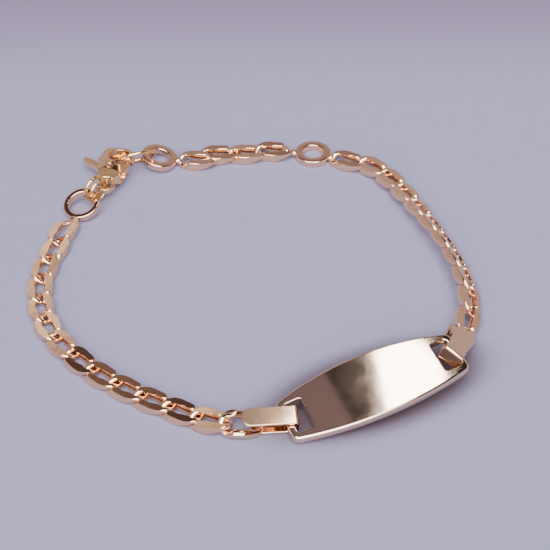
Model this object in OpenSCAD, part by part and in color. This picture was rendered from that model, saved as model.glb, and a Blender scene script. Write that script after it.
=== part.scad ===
// Identity bracelet lying on a flat surface: a blank arched plate, two
// fold-over connectors, a flat curb chain, a front ring, an end ring, a
// size-adjusting ring, jump rings and a lobster clasp with its lever.
// Millimetres, +Z up, the surface is z = 0.

/* [Chain] */
// Distance from one chain link to the next
link_pitch = 3.5; // [3.4:0.05:3.6]
// Width of the chain
chain_w = 3.05; // [2.95:0.05:3.2]
// Thickness of the flattened chain
chain_t = 1.15; // [1.12:0.01:1.2]
// Width of a link's wire, seen from above
wire_w = 0.74; // [0.68:0.02:0.8]
// Height of a link's wire
wire_t = 0.42; // [0.38:0.02:0.44]

/* [Plate] */
// Length of the name plate
plate_l = 21.2; // [20.2:0.2:22.6]
// Width of the plate at its middle
plate_w = 8; // [7.6:0.2:8.6]
// Width of the plate at its ends
plate_end_w = 5; // [4.9:0.1:5.4]
// Thickness of the plate
plate_t = 0.9; // [0.8:0.05:0.95]
// Rise of the plate's middle over its ends
plate_arch = 0.5; // [0.3:0.1:0.7]

/* [Connectors] */
// Width of a fold-over connector
strap_w = 2.3; // [2.1:0.1:2.5]
// Length of a connector's top leaf
strap_l = 5.8; // [5.6:0.1:6.1]
// Thickness of the connector's sheet
strap_t = 0.3; // [0.26:0.02:0.34]

/* [Rings] */
// Outer diameter of the three flat rings
ring_d = 4.6; // [4.5:0.05:4.8]
// Hole of the end ring and of the adjusting ring
ring_hole_d = 2.6; // [2.4:0.1:2.7]
// Thickness of the flat rings
ring_t = 0.85; // [0.8:0.05:0.95]
// Wire of the jump rings
jump_wire = 0.45; // [0.42:0.01:0.48]

/* [Clasp] */
// Thickness of the clasp's body
clasp_t = 2.3; // [2.2:0.1:2.5]
// Thickness of the clasp's lever
lever_t = 0.8; // [0.7:0.05:0.9]

/* [Hidden] */
$fn = 48;

// Centre line of the chain seen from above, clockwise from the left connector
ROUTE = [[-5.3, -25.3], [-8, -24.3], [-10.9, -22.9], [-17, -19.4], [-22.2, -15],
    [-26.1, -9.6], [-27.6, -3], [-26.6, 3.6], [-23.9, 9.6], [-20.3, 16], [-14.9, 22],
    [-8.7, 22.6], [-1.9, 22.9], [5, 22.8], [10.9, 21.4], [14.4, 17.6], [17.3, 11.6],
    [19.9, 5.6], [21.7, 0], [22.4, -5.3], [21.2, -11.2], [15, -19], [2, -24.8]];

// Links between two assemblies, in the order of the route
LEFT_LINKS = 12;
BACK_LINKS = 2;
RIGHT_LINKS = 10;
LINKS = LEFT_LINKS + BACK_LINKS + RIGHT_LINKS;

// Lean of the right stretch at each joint, its inner edge up, in degrees
LEAN_RIGHT = [0, 7, 15, 24, 33, 41, 47, 49, 46, 39, 31];

// Clearances
link_play = 0.16;
leaf_play = 0.18;
slide_play = 0.1;
pin_play = 0.04;

// How far a cutting shape reaches past what it cuts
cut_over = 1;

// A frame is a place and the three rows of a rotation
function rx(a) = [[1, 0, 0], [0, cos(a), -sin(a)], [0, sin(a), cos(a)]];
function ry(a) = [[cos(a), 0, sin(a)], [0, 1, 0], [-sin(a), 0, cos(a)]];
function rz(a) = [[cos(a), -sin(a), 0], [sin(a), cos(a), 0], [0, 0, 1]];
function at(f, v) = f[0] + f[1] * v;
function within(f, g) = [at(f, g[0]), f[1] * g[1]];
function flat(v) = [v.x, v.y];
function heading(v) = atan2(v.y, v.x);

module place(f) {
    multmatrix([for (i = [0:2]) concat(f[1][i], f[0][i]), [0, 0, 0, 1]])
        children();
}

// Wire bent round a closed path, six sides
WIRE_SIDES = [[0.5, 0], [0.28, 0.5], [-0.28, 0.5], [-0.5, 0], [-0.28, -0.5],
    [0.28, -0.5]];

function wire_ring(path, i) = let (
        n = len(path),
        along = path[(i + 1) % n] - path[(i + n - 1) % n],
        side = [along.y, -along.x, 0] / norm(flat(along)))
    [for (s = WIRE_SIDES) path[i] + side * s[0] * wire_w + [0, 0, s[1] * wire_t]];

module bent_wire(path) {
    n = len(path);
    m = len(WIRE_SIDES);
    points = [for (i = [0:n - 1]) each wire_ring(path, i)];
    faces = [for (i = [0:n - 1]) for (j = [0:m - 1]) let (
            a = i * m + j,
            b = i * m + (j + 1) % m,
            c = ((i + 1) % n) * m + (j + 1) % m,
            d = ((i + 1) % n) * m + j)
        each [[a, b, c], [a, c, d]]];
    polyhedron(points, faces);
}

// Centre line of a curb link: a rounded oval whose rails rise at opposite ends
link_stations = 16;
link_a = (link_pitch + wire_w + link_play) / 2;
link_b = (chain_w - wire_w) / 2;
link_rise = (chain_t - wire_t) / 2;
link_round = 2 / 2.2;

function rounded(c) = sign(c) * pow(abs(c), link_round);
function twist(c, s) = -sign(c * s) * min(1, 2.5 * abs(c * s));
function station(i) = 360 * (i + 0.5) / link_stations;
function link_path() = [for (i = [0:link_stations - 1]) let (
        c = cos(station(i)), s = sin(station(i)))
    [link_a * rounded(c), link_b * rounded(s), link_rise * twist(c, s)]];

module curb_link() {
    color("#d9a066") bent_wire(link_path());
}

// Name plate: two long arcs and rounded corners, arched along its length
plate_end_r = 0.8;
plate_bulge = (plate_w - plate_end_w) / 2;
plate_side_r = (pow(plate_l / 2, 2) + pow(plate_bulge, 2)) / (2 * plate_bulge);
plate_arch_r = (pow(plate_l / 2, 2) + pow(plate_arch, 2)) / (2 * plate_arch);
bar_w = 0.75;
slot_w = 2;
slot_l = 3.9;
slot_r = 0.35;

plate_side_y = plate_w / 2 - plate_side_r;
plate_corner_x = plate_l / 2 - plate_end_r;
plate_corner_y = plate_side_y
    + sqrt(pow(plate_side_r - plate_end_r, 2) - pow(plate_corner_x, 2));
cut_h = 2 * (plate_arch + plate_t) + 5;

module plate_slab() {
    intersection() {
        cube([plate_l, plate_w + 1, 6], center = true);
        for_both_sides() translate([0, plate_side_y, 0])
            cylinder(r = plate_side_r, h = 7, center = true, $fn = 200);
    }
}

module plate_shell() {
    translate([0, 0, -plate_arch_r]) rotate([90, 0, 0]) difference() {
        cylinder(r = plate_arch_r + plate_t / 2, h = 12, center = true, $fn = 400);
        cylinder(r = plate_arch_r - plate_t / 2, h = 13, center = true, $fn = 400);
    }
}

// What the rounding takes off the corner at +x, +y. Its arc is a little larger
// than one that would only touch the two edges, so that it crosses both.
plate_corner_r = plate_end_r + 0.06;

module plate_corner() {
    centre = [plate_corner_x, plate_corner_y];
    out = (centre - [0, plate_side_y]) / norm(centre - [0, plate_side_y]);
    linear_extrude(cut_h, center = true) difference() {
        polygon([centre, centre + [2, 0], centre + [2, 2], centre + out * 2]);
        translate(centre) circle(plate_corner_r);
    }
}

module for_both_sides() {
    intersection() {
        children();
        mirror([0, 1, 0]) children();
    }
}

module slot_outline() {
    x = slot_w / 2 - slot_r;
    y = slot_l / 2 - slot_r;
    square([slot_w, 2 * y], center = true);
    square([2 * x, slot_l], center = true);
    for (u = [-x, x], v = [-y, y]) translate([u, v]) circle(slot_r);
}

// The plate's own frame has its middle's mid-height at the origin
module plate() {
    color("#e0a878") difference() {
        intersection() {
            plate_slab();
            plate_shell();
        }
        for (turn = [0, 1]) mirror([turn, 0, 0]) {
            translate([plate_l / 2 - bar_w - slot_w / 2, 0, 0])
                linear_extrude(cut_h, center = true) slot_outline();
            for (flip = [0, 1]) mirror([0, flip, 0]) plate_corner();
        }
    }
}

// Connector: one strip folded round the plate's end bar, with a loop for the
// chain under its rounded tongue. Its frame has the fold's inner face at the
// origin, x towards the chain, and z = 0 midway between the leaves.
leaf_gap = plate_t + 2 * leaf_play;
fold_r = 0.45;
tongue_r = 1.1;
loop_w = 3.5;
loop_b = (loop_w - wire_w) / 2;
loop_z = chain_t / 2 - leaf_gap / 2 - strap_t;
loop_root_z = -(leaf_gap + strap_t) / 2 + 0.05;
loop_reach = 1.65;
joint_x = strap_l + loop_reach;
loop_x = joint_x - link_pitch / 2;

function loop_height(c, s) = c > 0
    ? loop_z + link_rise * twist(c, s)
    : loop_z + (loop_root_z - loop_z) * min(1, -1.6 * c);
function loop_path() = [for (i = [0:link_stations - 1]) let (
        c = cos(station(i)), s = sin(station(i)))
    [link_a * rounded(c), loop_b * rounded(s), loop_height(c, s)]];

module rounded_box_2d(x0, x1, z0, z1, r) {
    translate([x0 + r, z0]) square([x1 - x0 - r, z1 - z0]);
    translate([x0, z0 + r]) square([r * 2, z1 - z0 - 2 * r]);
    for (z = [z0 + r, z1 - r]) translate([x0 + r, z]) circle(r);
}

module strip_profile() {
    top = leaf_gap / 2 + strap_t;
    lower_l = loop_x - link_a + wire_w + 0.5;
    difference() {
        rounded_box_2d(-strap_t, strap_l, -top, top, fold_r);
        rounded_box_2d(0, strap_l + cut_over, -leaf_gap / 2, leaf_gap / 2, fold_r / 2);
        translate([lower_l, -top - cut_over]) square([strap_l, top]);
    }
}

module tongue_outline() {
    y = strap_w / 2 - tongue_r;
    translate([-strap_t - cut_over, -strap_w / 2])
        square([strap_l + strap_t + cut_over - tongue_r, strap_w]);
    translate([0, -y]) square([strap_l, 2 * y]);
    for (v = [-y, y]) translate([strap_l - tongue_r, v]) circle(tongue_r);
}

module connector() {
    color("#dda574") {
        intersection() {
            rotate([90, 0, 0]) linear_extrude(strap_w + 1, center = true) strip_profile();
            linear_extrude(4, center = true) tongue_outline();
        }
        translate([loop_x, 0, 0]) bent_wire(loop_path());
    }
}

// The plate with both connectors, the plate's length along x
plate_pitch = 6;
plate_roll = 10;
end_slope = asin((plate_l / 2 - bar_w / 2) / plate_arch_r);
bar_x = plate_l / 2 - bar_w / 2;
bar_z = sqrt(pow(plate_arch_r, 2) - pow(bar_x, 2)) - plate_arch_r;
PLATE = [[0, 0, 0], ry(-plate_pitch) * rx(plate_roll)];

// How each connector sits on its bar: hinge is its drop from the plate's end,
// swing its turn in its own plane, shift its place along the slot
hinge_left = -9;
swing_left = -20;
shift_left = 0.45;
hinge_right = 32;
swing_right = 39;
shift_right = 0.45;

function bar_reach(hinge) = (bar_w * cos(hinge) + plate_t * sin(abs(hinge))) / 2;
function slide(hinge, swing) = bar_reach(hinge) / cos(swing)
    + (strap_w / 2) * tan(abs(swing)) + slide_play;
function connector_on(end, hinge, swing, shift) = let (
        turn = PLATE[1] * rz(end < 0 ? 180 : 0) * ry(end_slope + hinge) * rz(swing),
        bar = at(PLATE, [end * bar_x, shift, bar_z]))
    [bar - turn * [slide(hinge, swing), 0, 0], turn];
CONNECTOR_LEFT = connector_on(-1, hinge_left, swing_left, shift_left);
CONNECTOR_RIGHT = connector_on(1, hinge_right, swing_right, shift_right);
PLATE_JOINT_LEFT = at(CONNECTOR_LEFT, [joint_x, 0, loop_z]);
PLATE_JOINT_RIGHT = at(CONNECTOR_RIGHT, [joint_x, 0, loop_z]);

// Lowest points of the assembly: the plate's underside and the lower leaves
plate_low = [for (u = [-1, 1], v = [-1, 1])
    at(PLATE, [u * plate_l / 2, v * plate_end_w / 2, -plate_arch - plate_t / 2]).z];
leaf_low = [for (f = [CONNECTOR_LEFT, CONNECTOR_RIGHT], x = [0, loop_x], v = [-1, 1])
    at(f, [x, v * strap_w / 2, -leaf_gap / 2 - strap_t]).z];
front_lift = -min(concat(plate_low, leaf_low));

// Flat rings, each with a chain link held off its rim by a stub of solder
solder_gap = 0.1;
solder_r = 0.33;
solder_l = 0.7;
ring_step = ring_d / 2 + link_a + wire_w / 2 + solder_gap;
solder_x = (ring_d + solder_gap) / 2;
front_ring_hole_d = 3.3;

module solder_stub() {
    rotate([0, 90, 0]) cylinder(r = solder_r, h = solder_l, center = true);
}

module flat_ring(hole_d) {
    bevel = 0.12;
    r = ring_d / 2;
    h = hole_d / 2;
    t = ring_t / 2;
    rotate(100) rotate_extrude() polygon([[h + bevel, -t], [r - bevel, -t], [r, bevel - t],
        [r, t - bevel], [r - bevel, t], [h + bevel, t], [h, t - bevel], [h, bevel - t]]);
}

// The adjusting ring between its two links, the route along x
ADJUSTER_TURNS = [180, -20];
function adjuster_end(turn) = rz(turn) * [ring_step + link_pitch / 2, 0, 0];
adjuster_reach = norm(adjuster_end(ADJUSTER_TURNS[1]) - adjuster_end(ADJUSTER_TURNS[0]));

module adjusting_ring() {
    color("#d9a066") {
        translate([0, 0, ring_t / 2]) flat_ring(ring_hole_d);
        for (turn = ADJUSTER_TURNS) rotate(turn) {
            translate([ring_step, 0, chain_t / 2]) curb_link();
            translate([solder_x, 0, ring_t / 2]) solder_stub();
        }
    }
}

// The closing end: front ring, jump rings, clasp, claw ring and end ring, in
// a frame with the front ring's centre at the origin and y to the back
front_link_turn = 70;
front_ring_tilt = 18;
front_ring_turn = 52;
front_ring_z = ring_d / 2 * sin(front_ring_tilt) + ring_t / 2 * cos(front_ring_tilt);
end_ring_tilt = 13;
end_ring_z = ring_d / 2 * sin(end_ring_tilt) + ring_t / 2 * cos(end_ring_tilt);
END_RING_AT = [8.6, 10.1];
EYE_AT = [2.7, 3.1];
clasp_turn = 76;
clasp_lift = 0.4;

FRONT_RING = [[0, 0, front_ring_z],
    rz(front_ring_turn) * ry(-front_ring_tilt) * rz(-front_ring_turn)];
FRONT_LINK = [-ring_step * [cos(front_link_turn), sin(front_link_turn), 0]
    + [0, 0, chain_t / 2], rz(front_link_turn)];
END_RING = [[END_RING_AT.x, END_RING_AT.y, end_ring_z], ry(end_ring_tilt)];
END_LINK = [[END_RING_AT.x + ring_step, END_RING_AT.y, chain_t / 2], rz(0)];
CLASP = [[EYE_AT.x, EYE_AT.y, clasp_t / 2 + clasp_lift], rz(clasp_turn)];
CLOSE_START = at(FRONT_LINK, [-link_pitch / 2, 0, 0]);
CLOSE_END = at(END_LINK, [link_pitch / 2, 0, 0]);

// Jump rings: place, turn of the plane about z, then its lean
jump_r = 1.6;
jump_left_turn = 138;
jump_left_lean = 86;
jump_right_turn = 142;
jump_right_lean = 83;
JUMP_LEFT = [[1.46, 2.15, 1.95], rz(jump_left_turn) * ry(jump_left_lean)];
JUMP_RIGHT = [[2.01, 1.61, 1.95], rz(jump_right_turn) * ry(jump_right_lean)];
claw_ring_r = 2.44;
claw_ring_turn = 106.5;
claw_ring_lean = 47.7;
CLAW_RING = [[6.43, 8.18, 2.045], rz(claw_ring_turn) * ry(claw_ring_lean)];

module jump_ring(r) {
    color("#e8c26a") rotate_extrude() translate([r, 0]) circle(jump_wire / 2, $fn = 24);
}

module front_ring() {
    color("#d9a066") {
        place(FRONT_RING) flat_ring(front_ring_hole_d);
        place(FRONT_LINK) {
            curb_link();
            translate([ring_step - solder_x, 0, 0]) solder_stub();
        }
    }
}

module end_ring() {
    color("#d9a066") {
        place(END_RING) flat_ring(ring_hole_d);
        place(END_LINK) {
            curb_link();
            translate([solder_x - ring_step, 0, 0]) solder_stub();
        }
    }
}

// Clasp seen from above: x from its eye to its claw, y to the lever's side
eye_r = 1.25;
eye_hole_r = 0.85;
eye_t = 0.7;
pin_x = 2.9;
pin_y = 0.2;
pin_r = 0.32;
claw_x = 5.05;
claw_r = 2.4;
claw_hole_x = 5.25;
claw_hole_y = -0.5;
claw_hole_r = 1.35;

dome_x = 4;
dome_r = 9;
side_dome_r = 3.1;

module for_both_faces() {
    intersection() {
        children();
        mirror([0, 0, 1]) children();
    }
}

module clasp_outline() {
    translate([claw_x, 0]) circle(claw_r);
    translate([2.7, -0.1]) circle(1.75);
    polygon([[2.2, 1.55], [4.2, 2.22], [4.2, -2.22], [2.2, -1.75]]);
    translate([0, -0.6]) square([2, 1.2]);
}

module clasp_body() {
    color("#e0b070") difference() {
        union() {
            intersection() {
                linear_extrude(clasp_t, center = true) difference() {
                    clasp_outline();
                    circle(eye_r + 0.1);
                }
                for_both_faces() translate([0, 0, clasp_t / 2 - side_dome_r])
                    rotate([0, 90, 0]) cylinder(r = side_dome_r, h = 20, $fn = 96);
                for_both_faces() translate([dome_x, 0, clasp_t / 2 - dome_r])
                    rotate([90, 0, 0]) cylinder(r = dome_r, h = 12, center = true, $fn = 96);
            }
            cylinder(r = eye_r, h = eye_t, center = true);
            translate([0.6, -0.6, -eye_t / 2]) cube([1.2, 1.2, eye_t]);
        }
        cylinder(r = eye_hole_r, h = 3, center = true);
        translate([claw_hole_x, claw_hole_y, 0])
            cylinder(r = claw_hole_r, h = 4, center = true);
        translate([3.3, -3.2, -2]) cube([1.1, 2.9, 4]);
        translate([0, 0, -(lever_t + 0.12) / 2]) linear_extrude(lever_t + 0.12)
            lever_room();
        translate([pin_x, pin_y, 0]) cylinder(r = pin_r + pin_play, h = 4, center = true);
    }
}

// What the lever sweeps inside the body
module lever_room() {
    polygon([[1.9, -3], [1.75, 1], [1.6, 3], [5.2, 3], [4.4, 0.9], [5.2, 0.6], [5.2, -1],
        [4.9, -3]]);
}

lever_hub_r = 0.75;
lever_tip_r = 0.35;
THUMB_ARM = [[3, 0.6], [2.6, 0.7], [4.1, 3.9], [4.75, 3.7], [3.4, 0.3]];
GATE_ARM = [[3.4, 0.1], [3.7, -1.15], [4.7, -1.4], [4.6, -1.95], [3.3, -1.85], [2.5, -0.2]];

module clasp_lever() {
    color("#e8c26a") difference() {
        union() {
            translate([pin_x, pin_y, 0]) cylinder(r = lever_hub_r, h = lever_t, center = true);
            for (arm = [THUMB_ARM, GATE_ARM])
                linear_extrude(lever_t, center = true) polygon(arm);
            translate([4.42, 3.75, 0]) cylinder(r = lever_tip_r, h = lever_t, center = true);
        }
        translate([pin_x, pin_y, 0]) cylinder(r = pin_r + pin_play, h = 4, center = true);
    }
}

module clasp_pin() {
    color("#d9a066") translate([pin_x, pin_y, 0])
        cylinder(r = pin_r, h = clasp_t - 0.1, center = true);
}

// Each piece of the route spans a straight reach between two joints on a
// closed spline; the spline is scaled until the last joint meets the first
close_reach = norm(flat(CLOSE_END - CLOSE_START));
plate_reach = norm(flat(PLATE_JOINT_LEFT - PLATE_JOINT_RIGHT));
REACHES = [for (i = [1:LEFT_LINKS]) link_pitch, close_reach,
    for (i = [1:BACK_LINKS]) link_pitch, adjuster_reach,
    for (i = [1:RIGHT_LINKS]) link_pitch, plate_reach];

function on_route(t) = let (
        n = len(ROUTE),
        i = floor(t),
        u = t - i,
        a = ROUTE[(i + n - 1) % n],
        b = ROUTE[i % n],
        c = ROUTE[(i + 1) % n],
        d = ROUTE[(i + 2) % n])
    0.5 * (2 * b + (c - a) * u + (2 * a - 5 * b + 4 * c - d) * u * u
        + (3 * b - a - 3 * c + d) * u * u * u);
function span(t, s, k) = k * norm(on_route(s) - on_route(t));
function march(t, r, k, s) = span(t, s, k) >= r ? s : march(t, r, k, s + 0.1);
function halve(t, r, k, low, high, n) = let (mid = (low + high) / 2)
    n == 0 ? mid
    : span(t, mid, k) < r ? halve(t, r, k, mid, high, n - 1)
    : halve(t, r, k, low, mid, n - 1);
function next_joint(t, r, k) = let (s = march(t, r, k, t + 0.1))
    halve(t, r, k, s - 0.1, s, 18);
function walk(k, t = 0, i = 0) = i == len(REACHES) ? [t]
    : concat([t], walk(k, next_joint(t, REACHES[i], k), i + 1));
function miss(k) = walk(k)[len(REACHES)] - len(ROUTE);
function close_up(a, b, miss_a, miss_b, n) = n == 0 || abs(miss_b) < 1e-6 ? b
    : let (c = b - miss_b * (b - a) / (miss_b - miss_a))
    close_up(b, c, miss_b, miss(c), n - 1);
route_scale = close_up(1, 1.01, miss(1), miss(1.01), 8);
WALK = walk(route_scale);

// Lean and height of each joint
adjuster_i = LEFT_LINKS + 1 + BACK_LINKS;
right_i = adjuster_i + 1;
function lean(i) = i >= right_i && i <= right_i + RIGHT_LINKS
    ? LEAN_RIGHT[i - right_i] : 0;
function joint_z(i) = i == 0 || i == len(REACHES) ? PLATE_JOINT_LEFT.z + front_lift
    : i == right_i + RIGHT_LINKS ? PLATE_JOINT_RIGHT.z + front_lift
    : i == right_i ? chain_t / 2
    : chain_w / 2 * sin(lean(i)) + chain_t / 2 * cos(lean(i));
function joint(i) = let (p = route_scale * on_route(WALK[i])) [p.x, p.y, joint_z(i)];

// The frame of piece i: its middle, and x along its reach
function piece_frame(i) = let (
        a = joint(i),
        b = joint(i + 1),
        rise = atan2(b.z - a.z, norm(flat(b - a))),
        roll = -(lean(i) + lean(i + 1)) / 2)
    [(a + b) / 2, rz(heading(b - a)) * ry(-rise) * rx(roll)];

// The frame of an assembly whose own joints a and b meet joints i and i + 1
function assembly_frame(i, a, b, z) = let (
        p = joint(i),
        turn = rz(heading(joint(i + 1) - p) - heading(b - a)),
        start = turn * [a.x, a.y, 0])
    [[p.x - start.x, p.y - start.y, z], turn];

CLOSING = assembly_frame(LEFT_LINKS, CLOSE_START, CLOSE_END, 0);
ADJUSTER = assembly_frame(adjuster_i, adjuster_end(ADJUSTER_TURNS[0]),
    adjuster_end(ADJUSTER_TURNS[1]), 0);
FRONT = assembly_frame(right_i + RIGHT_LINKS, PLATE_JOINT_RIGHT, PLATE_JOINT_LEFT,
    front_lift);

// Links are numbered along the route; the assemblies between them are skipped
function link_place(n) = n <= LEFT_LINKS ? n - 1
    : n <= LEFT_LINKS + BACK_LINKS ? n : n + 1;
function link_name(n) = str("link_", n < 10 ? "0" : "", n);

// Everything is shifted so that the middle of its bounding box is the origin
MIDDLE = [-2.68, -1.03, -0.02];

module whole() {
    translate(-MIDDLE) children();
}

whole() place(within(FRONT, PLATE)) plate();
whole() place(within(FRONT, CONNECTOR_LEFT)) connector();  // connector_left
whole() place(within(FRONT, CONNECTOR_RIGHT)) connector();  // connector_right
whole() place(ADJUSTER) adjusting_ring();
whole() place(CLOSING) front_ring();
whole() place(CLOSING) end_ring();
whole() place(within(CLOSING, JUMP_LEFT)) jump_ring(jump_r);  // jump_ring_left
whole() place(within(CLOSING, JUMP_RIGHT)) jump_ring(jump_r);  // jump_ring_right
whole() place(within(CLOSING, CLAW_RING)) jump_ring(claw_ring_r);  // claw_ring
whole() place(within(CLOSING, CLASP)) clasp_body();
whole() place(within(CLOSING, CLASP)) clasp_lever();
whole() place(within(CLOSING, CLASP)) clasp_pin();
for (n = [1:LINKS])
    whole() place(piece_frame(link_place(n))) curb_link();
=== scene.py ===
# %% [markdown]
# A fastened identity bracelet in rose-tinted gold, lying on a pale surface.
#
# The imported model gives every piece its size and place. Its links are made of
# six-sided wire, its plate has sharp rims and its clasp has hard edges, which is
# right for collision and too plain for polished metal. Gold shows its shape by
# what it mirrors, so this lesson gives each piece the filed flats, rounded rims
# and soft cast forms of the real one, in the same place as the solid.

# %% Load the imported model
import math
import random

import bmesh
import bpy
import numpy as np
from mathutils import Matrix, Vector


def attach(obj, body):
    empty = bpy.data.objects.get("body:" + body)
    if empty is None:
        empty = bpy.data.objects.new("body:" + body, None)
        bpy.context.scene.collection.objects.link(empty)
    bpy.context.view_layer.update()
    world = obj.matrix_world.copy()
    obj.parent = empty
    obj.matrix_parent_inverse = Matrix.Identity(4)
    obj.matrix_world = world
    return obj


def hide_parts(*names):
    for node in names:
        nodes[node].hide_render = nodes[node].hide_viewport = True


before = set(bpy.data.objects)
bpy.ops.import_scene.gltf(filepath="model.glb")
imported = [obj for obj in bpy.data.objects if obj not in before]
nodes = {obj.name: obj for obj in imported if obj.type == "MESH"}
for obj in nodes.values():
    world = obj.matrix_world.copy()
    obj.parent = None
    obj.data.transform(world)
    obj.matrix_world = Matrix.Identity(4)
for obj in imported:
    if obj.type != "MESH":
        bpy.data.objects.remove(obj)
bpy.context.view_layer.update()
random.seed(7)

# %% [markdown]
# The photograph looks down on the bracelet at about 41 degrees from 195 mm away,
# a close view, so its perspective is strong. A lens of 1650 pixels on a frame of
# 550 gives the same convergence of the near and far chain.

# %% Camera
MM = 0.001
LOOK_AT = Vector((2.68, 1.03, 0.02)) * MM
CAMERA_DISTANCE = 195.27 * MM
CAMERA_ELEVATION = math.radians(41.3)
LENS_PIXELS = 1650
FRAME_PIXELS = 550

camera_data = bpy.data.cameras.new("camera")
camera_data.sensor_fit = "HORIZONTAL"
camera_data.angle = 2 * math.atan(FRAME_PIXELS / 2 / LENS_PIXELS)
camera_data.clip_start = 0.01
camera_data.clip_end = 10
camera = bpy.data.objects.new("camera", camera_data)
bpy.context.collection.objects.link(camera)
sight = Vector((0, math.cos(CAMERA_ELEVATION), -math.sin(CAMERA_ELEVATION)))
camera.location = LOOK_AT - sight * CAMERA_DISTANCE
camera.rotation_euler = sight.to_track_quat("-Z", "Y").to_euler()
bpy.context.scene.camera = camera
print("camera at, mm:", [round(v / MM, 1) for v in camera.location])

# %% [markdown]
# Shader nodes are easier to read as sums than as wires. A small class wraps a
# node's output, so that `base + 0.2 * mask` adds the Math nodes by itself, and a
# second one adds the other nodes, mixes colours and fades one value into another.

# %% A wrapper for shader sockets
class Val:
    def __init__(self, tree, socket):
        self.tree, self.socket = tree, socket

    def _math(self, operation, a, b=None):
        node = self.tree.nodes.new("ShaderNodeMath")
        node.operation = operation
        for slot, value in zip(node.inputs, (a, b)):
            if isinstance(value, Val):
                self.tree.links.new(value.socket, slot)
            elif value is not None:
                slot.default_value = value
        return Val(self.tree, node.outputs[0])

    def __add__(self, other):
        return self._math("ADD", self, other)

    def __sub__(self, other):
        return self._math("SUBTRACT", self, other)

    def __rsub__(self, other):
        return self._math("SUBTRACT", other, self)

    def __mul__(self, other):
        return self._math("MULTIPLY", self, other)

    def __pow__(self, other):
        return self._math("POWER", self, other)

    def below(self, other):
        """1 where this is less than the other value, and 0 elsewhere."""
        return self._math("LESS_THAN", self, other)

    __radd__ = __add__
    __rmul__ = __mul__


class Shader:
    """Adds nodes to one material or world and puts values or links on their sockets."""

    def __init__(self, owner):
        owner.use_nodes = True
        self.owner, self.tree = owner, owner.node_tree

    def put(self, slot, value):
        if isinstance(value, Val):
            self.tree.links.new(value.socket, slot)
        else:
            slot.default_value = value

    def add(self, kind, settings=None, output=0, **values):
        """A new node's output; the values go on its inputs of those names."""
        node = self.tree.nodes.new(kind)
        for key, value in (settings or {}).items():
            setattr(node, key, value)
        for key, value in values.items():
            self.put(node.inputs[key.replace("_", " ")], value)
        return Val(self.tree, node.outputs[output])

    def mix(self, factor, a, b):
        """A colour that goes from a to b with the factor."""
        a, b = (colour if isinstance(colour, Val) else (*colour, 1) for colour in (a, b))
        return self.add("ShaderNodeMix", {"data_type": "RGBA"}, 2, Factor=factor, A=a, B=b)

    def fade(self, value, low, high):
        """Smoothly 0 below low and 1 above high."""
        return self.add("ShaderNodeMapRange", {"interpolation_type": "SMOOTHSTEP"},
                        Value=value, From_Min=low, From_Max=high)

    def set(self, **values):
        """Puts values on a material's own inputs."""
        surface = self.tree.nodes["Principled BSDF"]
        for key, value in values.items():
            self.put(surface.inputs[key.replace("_", " ")], value)


# %% [markdown]
# Polished gold is all reflection. Its own colour only tints what it mirrors, and
# the small things that make it real are faint: wipe marks that blur the mirror
# in places, a soft unevenness from polishing, and specks of dust. Each gold here
# differs in tint and polish: rosy links, a mirror-bright plate and a yellower clasp.
# The near-black brown on the short side of the connectors' folds is painted shade.

# %% The gold of each kind of piece
OBJECT_PLACE = 3
SMEAR, SWELL, WIPE = 420, 900, (600, 9000, 9000)
DUST_GRAIN, DUST_PATCH, DUST_SIZE = 1700, 330, 0.09
RELIEF = 0.02 * MM


def gold(name, tint, deep_tint, polish, wave, scratch, dust=False):
    """Gold of two tints, with its roughness and the height of its waves and scratches."""
    s = Shader(bpy.data.materials.new(name))
    place = s.add("ShaderNodeTexCoord", output=OBJECT_PLACE)
    smear = s.add("ShaderNodeTexNoise", Vector=place, Scale=SMEAR, Detail=4, Roughness=0.6)
    wipe = s.add("ShaderNodeMapping", Vector=place, Rotation=(0.2, 0.1, 0.6), Scale=WIPE)
    hair = s.add("ShaderNodeTexNoise", Vector=wipe, Scale=1, Detail=3, Roughness=0.7)
    swell = s.add("ShaderNodeTexNoise", Vector=place, Scale=SWELL, Detail=1, Roughness=0.4)
    relief = swell * wave + hair * scratch
    bump = s.add("ShaderNodeBump", Height=relief, Strength=1.0, Distance=RELIEF)
    rough = polish + 0.10 * smear ** 2.0 + 0.03 * hair
    s.set(Base_Color=s.mix(smear, tint, deep_tint), Metallic=1.0, Roughness=rough, Normal=bump)
    if dust:
        grain = s.add("ShaderNodeTexVoronoi", Vector=place, Scale=DUST_GRAIN)
        where = s.add("ShaderNodeTexNoise", Vector=place, Scale=DUST_PATCH, Detail=2)
        speck = grain.below(DUST_SIZE * (1 - where.below(0.58)))
        s.set(Metallic=1 - 0.2 * speck, Roughness=rough + 0.4 * speck)
    return s.owner


PLATE_GOLD = gold("plate_gold", (0.93, 0.71, 0.56), (0.90, 0.66, 0.50), 0.035, 0.02, 0.01, True)
CHAIN_GOLD = gold("chain_gold", (0.96, 0.65, 0.42), (0.91, 0.56, 0.33), 0.08, 0.16, 0.02)
RING_GOLD = gold("ring_gold", (0.95, 0.63, 0.43), (0.89, 0.56, 0.36), 0.11, 0.25, 0.04)
CLASP_GOLD = gold("clasp_gold", (0.96, 0.65, 0.38), (0.91, 0.57, 0.30), 0.09, 0.10, 0.02)
STRAP_GOLD = gold("connector_gold", (0.94, 0.66, 0.45), (0.90, 0.59, 0.37), 0.04, 0.06, 0.02)
# A near-black brown: painted shade on each fold's short side, which sits in the plate's slot under its
# bar.
FOLD_PAINTED_SHADE_GOLD = gold("fold_painted_shade_gold", (0.20, 0.12, 0.075), (0.16, 0.09, 0.055), 0.12, 0.10, 0.03)
JUMP_GOLD = gold("jump_ring_gold", (0.98, 0.69, 0.29), (0.94, 0.60, 0.20), 0.09, 0.25, 0.05)
print("golds:", [m.name for m in bpy.data.materials if m.name.endswith("_gold")])

# %% [markdown]
# Every new piece is modelled in millimetres, because modelling tools have limits
# near a hundredth of a millimetre that a bracelet in metres would fall under. One
# function scales it down, lays it in its place and lets it stand for its solid.

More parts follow.
